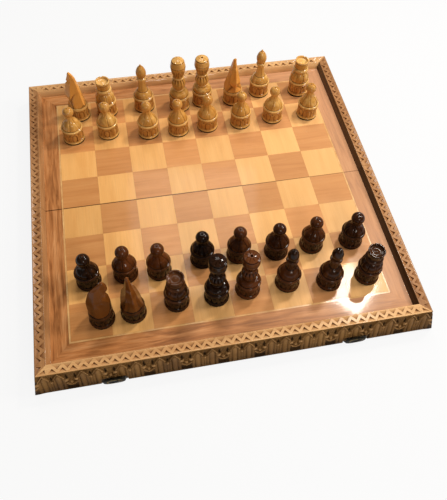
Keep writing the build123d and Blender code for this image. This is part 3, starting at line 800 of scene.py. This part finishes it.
def add_rail(node, body, quarter_turns, start, end, first, rim_wood, pads=(), painted_wall_shade=0.0):
    """A closed carved rail in place of the frame's plain one, its outer face of another finish."""
    grid, marks, rim_count = rail_surface(start, end, first, quarter_turns, pads, painted_wall_shade)
    rows, columns = grid.shape[:2]
    points = grid.transpose(1, 0, 2).reshape(-1, 3)
    start_cap = np.arange(rows)[None, ::-1]
    end_cap = (columns - 1) * rows + np.arange(rows)[None, :]
    row = np.tile(np.arange(rows), columns - 1)
    carved = (row >= rim_count - 1) & (row < rows - 1)
    which = np.concatenate([carved, [0, 0]])
    marks = {mark: values.T for mark, values in marks.items()}
    faces = [quads(columns, rows), start_cap, end_cap]
    piece = add_mesh(f"{node}_carved", points, faces, body, [rim_wood, relief_wood], which, **marks)
    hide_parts(node)


# ---- finishes
def linear(tone):
    """Linear colour from the three 0 to 255 values a screen shows."""
    values = [channel / 255 for channel in tone]
    return [v / 12.92 if v <= 0.04045 else ((v + 0.055) / 1.055) ** 2.4 for v in values] + [1]


class Finish:
    """A material being wired up; its methods add nodes and return their outputs. Colours are
    given as three values from 0 to 255, and greys as one from 0 to 1."""

    def __init__(self, name):
        self.material = bpy.data.materials.new(name)
        self.material.use_nodes = True
        self.tree = self.material.node_tree
        self.shader = self.tree.nodes["Principled BSDF"]
        self.place = self.tree.nodes.new("ShaderNodeTexCoord").outputs["Object"]

    def put(self, socket, value):
        """Link a node's output into a socket, or set the socket's value."""
        if isinstance(value, bpy.types.NodeSocket):
            self.tree.links.new(value, socket)
        else:
            socket.default_value = linear(value) if socket.type == "RGBA" else value

    def node(self, kind, inputs, output=0, **settings):
        """Any node, by its settings and by its inputs' names or numbers."""
        made = self.tree.nodes.new(kind)
        for key, value in settings.items():
            setattr(made, key, value)
        for key, value in inputs.items():
            self.put(made.inputs[key], value)
        return made.outputs[output]

    def math(self, operation, a, b=0.0, **settings):
        """A sum or the like of two values."""
        return self.node("ShaderNodeMath", {0: a, 1: b}, operation=operation, **settings)

    def times(self, a, b):
        """Product of two values."""
        return self.math("MULTIPLY", a, b)

    def plus(self, a, b):
        """Sum of two values."""
        return self.math("ADD", a, b)

    def split(self):
        """The place's x, y and z."""
        return self.node("ShaderNodeSeparateXYZ", {0: self.place}).node.outputs

    def stretch(self, scale, vector=None):
        """The place, or another vector, scaled along each axis."""
        return self.node("ShaderNodeMapping", {"Vector": vector or self.place, "Scale": scale})

    def noise(self, scale, detail=4.0, roughness=0.55, distortion=0.0, vector=None):
        """Cloudy values round a half."""
        inputs = {"Vector": vector or self.place, "Scale": scale, "Detail": detail,
                  "Roughness": roughness, "Distortion": distortion}
        return self.node("ShaderNodeTexNoise", inputs)

    def ramp(self, value, *stops):
        """Colours or greys at their places from 0 to 1, smooth between."""
        made = self.tree.nodes.new("ShaderNodeValToRGB")
        self.tree.links.new(value, made.inputs[0])
        elements = made.color_ramp.elements
        while len(elements) < len(stops):
            elements.new(0.5)
        for element, (place, tone) in zip(elements, stops):
            element.position = place
            element.color = linear(tone) if isinstance(tone, tuple) else [tone, tone, tone, 1]
        return made.outputs[0]

    def drift(self, scale, low, high):
        """Greys that drift between two values."""
        return self.ramp(self.noise(scale), (0.3, low), (0.7, high))

    def mix(self, share, a, b, blend="MIX"):
        """Colour a with a share of b laid over it."""
        inputs = {0: share, 6: a, 7: b}
        return self.node("ShaderNodeMix", inputs, 2, data_type="RGBA", blend_type=blend)

    def darken(self, wood, value, *stops):
        """The wood times a ramp of greys."""
        return self.mix(1.0, wood, self.ramp(value, *stops), "MULTIPLY")

    def attribute(self, name):
        """One of the marks that a mesh's points carry."""
        return self.node("ShaderNodeAttribute", {}, "Fac", attribute_name=name)

    def mark(self, wood, name, share, tone):
        """The wood with a tone laid over it where a mark says, up to a share."""
        return self.mix(self.times(self.attribute(name), share), wood, tone)

    def bump(self, height, strength, distance):
        """Normal of a fine unevenness, its distance in metres."""
        return self.node("ShaderNodeBump", {"Height": height, "Strength": strength, "Distance": distance})

    def done(self, base, roughness, normal=None, shine=0.5, coat=0.0, haze=0.03, metallic=0.0):
        """The finished material: coat is its lacquer's weight and haze that lacquer's roughness."""
        values = {"Base Color": base, "Roughness": roughness, "Specular IOR Level": shine,
                  "Coat Weight": coat, "Coat Roughness": haze, "Metallic": metallic}
        if normal is not None:
            values["Normal"] = normal
        for key, value in values.items():
            self.put(self.shader.inputs[key], value)
        return self.material


def grain(finish, along, fine, *stops, vector=None):
    """Wood with its grain along one axis: the colours of its long soft bands, which go by stops as
    in a ramp, and its fine fibres as values from 0 to 1: (wood, fibres)."""
    slow, quick = [finish.stretch([1 if axis == along else squash for axis in "xyz"], vector)
                   for squash in (11, 40)]
    bands = finish.noise(9.0 * fine, 3.0, 0.6, 0.6, vector=slow)
    return finish.ramp(bands, *stops), finish.noise(26.0 * fine, 3.0, 0.6, vector=quick)


def sheen_and_fold_shade(finish, wood, sheen_tone, share):
    """Veneer paler and pinker to the right, a painted sheen, with a painted shade line along the fold."""
    x, y, _ = finish.split()
    # paler, pinker tone growing towards the right: a painted sheen
    across_board = finish.plus(finish.times(x, 2.2), 0.5)
    sheen_share = finish.ramp(across_board, (0.2, 0.0), (1.0, share))
    wood = finish.mix(sheen_share, wood, sheen_tone)
    # dark line along the fold: painted shade in the gap between the halves, weaker towards the right
    fold_shade = finish.math("LESS_THAN", finish.math("ABSOLUTE", y), fold_line * mm)
    worn_away = finish.ramp(finish.plus(x, 0.5), (0.52, 0.8), (0.64, 0.3))
    return finish.mix(finish.times(fold_shade, worn_away), wood, (58, 32, 14))


def square_finish(name, along, deep, middle, pale, sheen_tone):
    """Veneer squares under lacquer, each cut from another place in the sheet."""
    finish = Finish(name)
    cells = finish.stretch((1 / (square * mm), 1 / (square * mm), 0.0))
    cell = finish.node("ShaderNodeVectorMath", {0: cells}, operation="FLOOR")
    chance = finish.node("ShaderNodeTexWhiteNoise", {"Vector": cell}).node.outputs
    moved = finish.node("ShaderNodeVectorMath", {0: chance["Color"], 1: finish.place}, operation="ADD")
    wood, fibres = grain(finish, along, 1.0, (0.16, deep), (0.48, middle), (0.84, pale), vector=moved)
    wood = finish.darken(wood, fibres, (0.35, 0.93), (0.62, 1.0))
    wood = finish.darken(wood, chance["Value"], (0.0, 0.84), (1.0, 1.04))
    fleck_scale = [60 if axis in (along, "z") else 260 for axis in "xyz"]
    flecks = finish.noise(9.0, 2.0, vector=finish.stretch(fleck_scale))
    wood = finish.mix(finish.ramp(flecks, (0.62, 0.0), (0.76, 0.5)), wood, deep)
    # paler, pinker painted sheen on the right side, and a painted shade line along the fold
    wood = sheen_and_fold_shade(finish, wood, sheen_tone, 0.35)
    waves = finish.plus(finish.times(fibres, 0.15), finish.noise(45.0, 2.0))
    return finish.done(wood, finish.drift(30.0, 0.20, 0.34), finish.bump(waves, 0.35, 0.0010),
                       shine=0.07, coat=0.16, haze=0.08)


def border_finish(deep, middle, pale, sheen_tone):
    """Walnut border: the grain follows each strip, and strips meet on the mitre."""
    finish = Finish("walnut_border_lacquered")
    x, y, _ = finish.split()
    beside = finish.math("GREATER_THAN", finish.math("ABSOLUTE", x), finish.math("ABSOLUTE", y))
    strips = []
    for along in ("x", "y"):
        wood, fibres = grain(finish, along, 1.8, (0.30, deep), (0.50, middle), (0.72, pale))
        strips.append(finish.darken(wood, fibres, (0.32, 0.72), (0.60, 1.0)))
    # paler, pinker painted sheen on the right side, and a painted shade line along the fold
    wood = sheen_and_fold_shade(finish, finish.mix(beside, *strips), sheen_tone, 0.60)
    waves = finish.noise(40.0, 2.0)
    return finish.done(wood, finish.drift(25.0, 0.22, 0.36), finish.bump(waves, 0.35, 0.0010),
                       shine=0.07, coat=0.24, haze=0.07)


def stringing_finish(deep, pale):
    """Pale line between the squares and the border."""
    finish = Finish("pale_stringing")
    wood = finish.ramp(finish.noise(90.0, 3.0), (0.3, deep), (0.7, pale))
    return finish.done(wood, 0.3, coat=0.4, haze=0.08)


def plain_wood(name, deep, pale):
    """Bare wood and plywood inside the box."""
    finish = Finish(name)
    wood, fibres = grain(finish, "x", 1.0, (0.3, deep), (0.7, pale))
    wood = finish.darken(wood, fibres, (0.3, 0.78), (0.62, 1.0))
    return finish.done(wood, 0.55, finish.bump(fibres, 0.3, 0.0004))


def rim_finish(name, along, deep, middle, pale):
    """Lacquered rim, darker in its chips as painted shade; its inner wall may carry painted shade."""
    finish = Finish(name)
    wood, fibres = grain(finish, along, 0.9, (0.30, deep), (0.52, middle), (0.74, pale))
    wood = finish.darken(wood, fibres, (0.3, 0.84), (0.62, 1.0))
    # chips darkened by their depth: painted shade in the hollows
    wood = finish.mark(wood, "cut", 0.85, (110, 60, 28))
    # inner wall of the right rails darkened: painted shade
    wood = finish.mark(wood, "shade", 0.9, (44, 25, 11))
    return finish.done(wood, finish.drift(60.0, 0.34, 0.50), finish.bump(fibres, 0.12, 0.0005),
                       shine=0.1, coat=0.40, haze=0.13)


def relief_finish(deep, middle, pale, cut_and_shade_tone, worn_tone):
    """Stained carving of the outer faces: painted shade in the cuts and towards the foot, pitted
    on the sunk ground, and pale on the ridges with wear and painted highlight."""
    finish = Finish("relief_stain_and_painted_shade")
    clouds = finish.noise(22.0, 3.0)
    fibres = finish.noise(3.0, 3.0, vector=finish.stretch((60, 60, 400)))
    wood = finish.ramp(clouds, (0.30, deep), (0.52, middle), (0.74, pale))
    wood = finish.darken(wood, fibres, (0.3, 0.80), (0.62, 1.0))
    specks = finish.ramp(finish.noise(1100.0, 2.0), (0.44, 0.0), (0.58, 1.0))
    pits = finish.times(specks, finish.attribute("ground"))
    wood = finish.mix(finish.times(pits, 0.45), wood, cut_and_shade_tone)
    # darker in holes and grooves and towards the foot: painted shade
    wood = finish.mark(wood, "cut", 0.9, cut_and_shade_tone)
    # pale ridges, balls and upper reeds: partly wear, partly painted highlight
    wood = finish.mark(wood, "worn", 0.9, worn_tone)
    height = finish.math("SUBTRACT", finish.times(fibres, 0.2), pits)
    roughness = finish.ramp(clouds, (0.3, 0.50), (0.7, 0.65))
    return finish.done(wood, roughness, finish.bump(height, 0.5, 0.0005), shine=0.08)


def piece_finish(name, grain_tones, cloud, drum, flat, worn, cut, glint, coat, haze):
    """Carved and lacquered piece: upright grain under clouds, a stained drum, rings and lids pale
    with wear and painted highlight, planed flats, and darker knife cuts, grooves and creases that are
    partly stain and partly painted shade. glint is the least and most roughness."""
    finish = Finish(name)
    wood, fibres = grain(finish, "z", 1.3, *zip((0.28, 0.50, 0.72), grain_tones))
    wood = finish.mix(finish.ramp(finish.noise(14.0, 1.0), (0.42, 0.0), (0.68, 0.55)), wood, cloud)
    wood = finish.darken(wood, fibres, (0.3, 0.86), (0.62, 1.0))
    patch = finish.ramp(finish.noise(160.0, 2.0), (0.35, 0.35), (0.65, 0.9))
    wood = finish.mark(wood, "stained", patch, drum)
    wood = finish.mark(wood, "flat", 0.55, flat)
    # paler rings, collars, crests, lids and cups: partly wear, partly painted highlight and sheen
    wood = finish.mix(finish.attribute("worn"), wood, worn)
    wood = finish.mix(finish.attribute("deep"), wood, cut)
    # darker cuts: partly stain, painted shade in grooves and creases
    knife = finish.math("POWER", finish.attribute("cut"), 1.4)
    wood = finish.mix(finish.math("MULTIPLY", knife, 0.95, use_clamp=True), wood, cut)
    height = finish.plus(finish.times(fibres, 0.25), finish.noise(220.0, 2.0))
    return finish.done(wood, finish.drift(70.0, *glint), finish.bump(height, 0.12, 0.0006),
                       shine=0.04, coat=coat, haze=haze)


def felt_finish(deep, pale):
    """Felt under each piece."""
    finish = Finish("green_felt")
    fibres = finish.noise(1800.0, 4.0, 0.7)
    cloth = finish.ramp(fibres, (0.3, deep), (0.7, pale))
    return finish.done(cloth, 0.95, finish.bump(fibres, 0.8, 0.0004), shine=0.1)


def metal_finish(name, bright, tarnished, share, roughness):
    """Metal with patches of tarnish and fine scratches."""
    finish = Finish(name)
    patches = finish.noise(260.0, 5.0, 0.65)
    metal = finish.mix(finish.ramp(patches, (share - 0.12, 0.0), (share + 0.12, 1.0)), tarnished, bright)
    scratches = finish.noise(1.0, 3.0, vector=finish.stretch((1500, 60, 1500)))
    rough = finish.ramp(patches, (0.3, roughness + 0.18), (0.7, roughness))
    return finish.done(metal, rough, finish.bump(scratches, 0.2, 0.0003), metallic=1.0)


def cover_finish(deep, pale, rubbed_and_glint_tone):
    """Blackened brass, pale along its bead: rubbed brass with a painted glint."""
    finish = Finish("blackened_cover")
    patches = finish.noise(300.0, 4.0, 0.6)
    metal = finish.ramp(patches, (0.35, deep), (0.65, pale))
    # pale bead: rubbed brass with a painted glint
    metal = finish.mark(metal, "worn", finish.ramp(patches, (0.45, 0.1), (0.6, 0.8)), rubbed_and_glint_tone)
    return finish.done(metal, 0.45, finish.bump(patches, 0.2, 0.0003), shine=0.06)


# each square and border finish gets a paler, pinker tone for the painted sheen on the right
maple = square_finish(
    "maple_lacquered", "y", (227, 163, 92), (236, 176, 104), (244, 187, 116), sheen_tone=(240, 196, 144))
cherry = square_finish(
    "cherry_lacquered", "x", (194, 127, 70), (213, 146, 85), (225, 161, 98), sheen_tone=(208, 158, 116))
border = border_finish((136, 82, 42), (188, 123, 70), (214, 152, 98), sheen_tone=(204, 158, 124))
stringing = stringing_finish((206, 150, 86), (230, 182, 116))
plywood = plain_wood("birch_plywood", (180, 138, 88), (214, 176, 124))
bare_rail = plain_wood("bare_hinge_rail", (166, 116, 66), (206, 158, 100))
rim_along_x = rim_finish("rim_along_x", "x", (192, 137, 84), (218, 168, 112), (233, 187, 131))
rim_along_y = rim_finish("rim_along_y", "y", (146, 100, 60), (176, 126, 80), (200, 152, 104))
relief_wood = relief_finish(
    (112, 77, 39), (146, 105, 57), (172, 128, 75), cut_and_shade_tone=(26, 14, 5), worn_tone=(214, 166, 112))
light_wood = piece_finish(
    "light_piece_lacquered", [(176, 120, 48), (208, 153, 76), (236, 188, 110)], cloud=(200, 136, 58),
    drum=(162, 100, 40), flat=(246, 166, 76), worn=(244, 202, 130), cut=(88, 44, 12),
    glint=(0.16, 0.30), coat=0.50, haze=0.08)
dark_wood = piece_finish(
    "dark_piece_lacquered", [(24, 12, 5), (46, 25, 11), (88, 49, 20)], cloud=(116, 60, 24),
    drum=(26, 14, 6), flat=(126, 70, 22), worn=(104, 62, 34), cut=(8, 4, 2),
    glint=(0.14, 0.26), coat=0.30, haze=0.06)
felt = felt_finish((10, 20, 13), (26, 44, 30))
brass = metal_finish("hinge_brass", (214, 176, 96), (120, 90, 44), 0.42, 0.26)
dark_cover = cover_finish((16, 14, 8), (38, 32, 18), rubbed_and_glint_tone=(190, 160, 100))
aged_metal = metal_finish("aged_latch_metal", (150, 120, 70), (44, 38, 30), 0.60, 0.34)

finishes = {
    "light_squares": maple, "dark_squares": cherry, "stringing": stringing, "border": border,
    "panel": plywood, "hinge_rail": bare_rail,
}
node_finishes = {f"{half}_{part}": finish for half in ("near", "far") for part, finish in finishes.items()}
for node in ("hinge_leaves_near", "hinge_leaves_far", "hinge_pins", "hinge_screws_near", "hinge_screws_far"):
    node_finishes[node] = brass
for node in ("latch_plates", "latch_pivots", "latch_hook_left", "latch_hook_right", "catch_studs"):
    node_finishes[node] = aged_metal
for node, finish in node_finishes.items():
    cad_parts[node].data.materials[0] = finish

# ---- rim
away = -rail_foot, -fold_face
toward = fold_face, rail_foot
add_rail("near_front_rail", "near_half", 0, -rail_foot, rail_foot, 0.0, rim_along_x, latch_places)
add_rail("far_back_rail", "far_half", 2, -rail_foot, rail_foot, 0.0, rim_along_x, latch_places)
# the right rails' inner walls carry painted shade
add_rail("near_right_rail", "near_half", 1, *away, pair_pitch / 2, rim_along_y, painted_wall_shade=1.0)
add_rail("far_right_rail", "far_half", 1, *toward, pair_pitch / 2, rim_along_y, painted_wall_shade=0.9)
add_rail("near_left_rail", "near_half", 3, *toward, pair_pitch / 2, rim_along_y)
add_rail("far_left_rail", "far_half", 3, *away, pair_pitch / 2, rim_along_y)


# ---- latch covers
def add_latch_cover(side, middle):
    """Domed stamping over a hook's eye: rings of a rounded oblong that rise by a rounded curve
    from its rim to a raised bead and a dished middle, with a flat back behind them."""
    size = [0, 0.5, 1, 1, 0.97, 0.90, 0.80, 0.68, 0.60, 0.54, 0.46, 0.36, 0.24, 0.12, 0]
    size = np.array(size)[:, None]
    front = np.arange(len(size))[:, None] > 1  # two rings make the back
    dish = 1 - cover_dish * fade(1 - size, 0.46, 0.7)
    rise = cover_rise * front * np.sqrt(1 - size**2) ** cover_squareness * dish
    angle = round_axis(cover_columns)
    waves = (np.cos(angle), np.sin(angle))
    beside, upward = [np.sign(wave) * np.abs(wave) ** cover_squareness for wave in waves]
    grid = np.stack([middle + cover_half_width * size * beside, -(cover_back + rise + 0 * angle),
                     cover_middle_z + cover_half_height * size * upward], -1)
    # pale bead: rubbed brass with a painted glint
    bead = front * np.exp(-((size - cover_bead) / 0.07) ** 2) + 0 * angle
    piece = add_closed(f"latch_cover_{side}", grid, "near_half", dark_cover, worn=bead)


for side, place in zip(("left", "right"), latch_places):
    add_latch_cover(side, place - cover_left)

# ---- chess pieces
makers = {"pawn": pawn, "rook": rook, "bishop": bishop, "king": king, "queen": queen}
# what the two sets turn to different sizes, mm
own_sizes = {
    "light": {
        "pawn": {"head": 7.4, "hip": 11.8, "hollow": 7.7},
        "rook": {"rim": 9.9},
        "bishop": {"head": 7.3, "collar": 6.9, "dome_share": 0.17, "dome_top": 8.2},
        "king": {"lid": 8.5},
        "queen": {"lid": 8.8},
    },
    "dark": {
        "pawn": {"head": 8.2, "hip": 12.3, "hollow": 8.8},
        "rook": {"rim": 10.4},
        "bishop": {"head": 6.9, "collar": 7.5, "dome_share": 0.26, "dome_top": 6.6},
        "king": {"lid": 9.4},
        "queen": {"lid": 9.4},
    },
}
# how much darker than their set some pieces came out of the stain, from 0 to 1
stain_depth = {"dark_king": 0.75, "dark_pawn_4": 0.6, "dark_bishop_left": 0.15, "dark_bishop_right": 0.2,
               "dark_rook_right": 0.45, "dark_pawn_1": 0.1, "dark_pawn_6": 0.35, "dark_pawn_8": 0.35}
# each knight's edges, throat line, depth of its throat as a share, and heading
knights = {
    "light_knight_left": (light_front, light_back, light_throat, 1.0, 180),
    "light_knight_right": (light_front, light_back, light_throat, 1.0, 277),
    "dark_knight_left": (dark_left_front, dark_left_back, dark_throat, 0.4, 195),
    "dark_knight_right": (dark_right_front, dark_right_back, dark_throat, 0.7, 280),
}


def add_felt(name, seat, body):
    """Felt disc: rings from the underside's middle out, up a slightly ragged edge and back."""
    low, high, flat = felt_clearance, felt_thickness, 13.6
    radius = np.array([0, 5, 10, flat, felt_radius, felt_radius, flat, 0])[:, None]
    z = np.array([low, low, low, low, 0.25, high - 0.1, high, high])[:, None]
    angle = round_axis(felt_columns)
    ragged = radius - 0.12 * (radius > flat) * (1 + np.sin(17 * angle) * np.sin(5 * angle + 1))
    piece = add_closed(name, rings(ragged, angle, z) + seat, body, felt)
    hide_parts(body)
    return piece


def add_chess_piece(node, number):
    """A carved piece and its felt where its node stands; its number sets how far it is turned."""
    low, high = [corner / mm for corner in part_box(node)]
    seat = np.array([(low.x + high.x) / 2, (low.y + high.y) / 2, playing_z])
    height = high.z - playing_z
    colour_name, kind = node.split("_")[:2]
    if kind == "knight":
        grid, marks = knight_surface(height, *knights[node])
    else:
        outline, cuts = makers[kind](height, **own_sizes[colour_name][kind])
        grid, marks = turned_surface(outline, cuts | {"drum": drum_arcade}, 2.4 * number)
    marks["deep"] = stain_depth.get(node, 0.0) + 0 * grid[..., 0]
    material = light_wood if colour_name == "light" else dark_wood
    piece = add_closed(f"{node}_carved", grid + seat, node, material, **marks)
    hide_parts(node)
    add_felt(f"{node}_felt", seat, node)


kinds = [f"{kind}_{side}" for kind in ("knight", "rook", "bishop") for side in ("left", "right")]
kinds += ["king", "queen"] + [f"pawn_{i}" for i in range(1, 9)]
for number, node in enumerate([f"{side}_{kind}" for side in ("light", "dark") for kind in kinds]):
    add_chess_piece(node, number)


# ---- scene round the part
def add_floor():
    """Plain pale floor: it takes the object's shadow, and camera and mirror rays see it whiter."""
    finish = Finish("pale_floor")
    tree = finish.tree
    finish.done((206, 206, 206), 0.9)
    rays = tree.nodes.new("ShaderNodeLightPath").outputs
    seen = finish.math("MAXIMUM", rays["Is Camera Ray"], rays["Is Glossy Ray"])
    seen = finish.math("MAXIMUM", seen, rays["Is Transmission Ray"])
    glow = tree.nodes.new("ShaderNodeEmission").outputs[0]
    share = finish.times(seen, floor_whiteness)
    blend = finish.node("ShaderNodeMixShader", {0: share, 1: finish.shader.outputs[0], 2: glow})
    tree.links.new(blend, tree.nodes["Material Output"].inputs["Surface"])
    mesh = bpy.data.meshes.new("floor")
    ends = (-floor_reach, floor_reach)
    mesh.from_pydata([(x, y, 0) for x in ends for y in ends], [], [(0, 2, 3, 1)])
    mesh.materials.append(finish.material)
    floor = add_object("floor", mesh)


def add_lamp(name, place, aim, size, power, tint):
    """Square soft lamp turned towards a point."""
    light = bpy.data.lights.new(name, "AREA")
    light.shape = "SQUARE"
    light.size = size
    light.energy = power
    light.color = tint
    lamp = add_object(name, light)
    lamp.location = place
    lamp.rotation_euler = (Vector(aim) - Vector(place)).to_track_quat("-Z", "Y").to_euler()


def add_world(strength):
    """Dim warm light from all round."""
    world = bpy.data.worlds.new("studio")
    world.use_nodes = True
    background = world.node_tree.nodes["Background"]
    background.inputs[0].default_value = (1.0, 0.96, 0.90, 1)
    background.inputs[1].default_value = strength
    bpy.context.scene.world = world


def add_camera():
    """The view from in front of and above the latches."""
    camera = bpy.data.cameras.new("camera")
    camera.lens = lens
    camera.sensor_width = 36
    camera.clip_start = 0.01
    holder = add_object("camera", camera)
    holder.location = camera_place
    holder.rotation_euler = Euler([math.radians(a) for a in camera_turn])
    bpy.context.scene.camera = holder


add_floor()
add_lamp("key", (0.56, 0.35, 1.10), (0.05, -0.05, 0.0), 0.13, 7, (1.0, 0.95, 0.88))
add_lamp("softbox", (0.95, -0.12, 0.90), (0.0, 0.0, 0.0), 0.36, 8, (1.0, 0.96, 0.92))
add_lamp("overhead", (0.10, 0.80, 1.30), (0.0, 0.0, 0.0), 0.50, 6, (1.0, 0.96, 0.90))
add_lamp("fill", (0.15, -1.05, 0.75), (0.0, 0.0, 0.03), 0.30, 3.5, (1.0, 0.95, 0.88))
add_world(0.18)
add_camera()
bpy.context.scene.view_settings.view_transform = "Standard"
